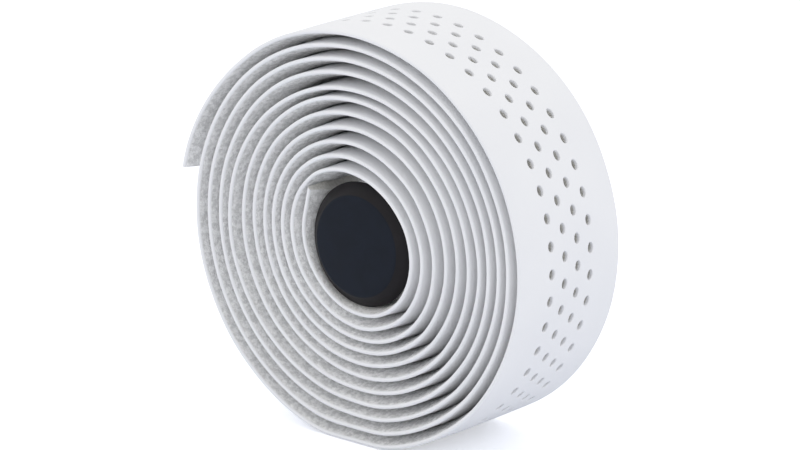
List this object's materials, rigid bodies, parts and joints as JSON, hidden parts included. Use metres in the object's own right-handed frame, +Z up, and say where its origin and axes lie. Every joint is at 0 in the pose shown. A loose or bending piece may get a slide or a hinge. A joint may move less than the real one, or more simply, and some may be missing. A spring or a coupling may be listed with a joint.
{
  "type": "handlebar tape roll",
  "caption": "Roll of soft perforated handlebar tape, wound on itself with thin skived edges and a free outer end, with a bar end plug in its core.",
  "frame": {"origin": "centre of the small flat on the tread that the roll rests on", "axes": "+Z up; the axis of the roll lies along Y and the face of the plug looks towards -Y; +X is to the right of someone who faces the plug"},
  "size_m": [0.0875, 0.03, 0.0833],
  "materials": {
    "tape": "matte white synthetic leather skin over foam, with a pale felt-like back that shows on the skived edges",
    "plug": "satin blue-black moulded plastic"
  },
  "bodies": {
    "root": {"tape": "tape", "bar_end_plug": "plug"}
  },
  "joints": []
}
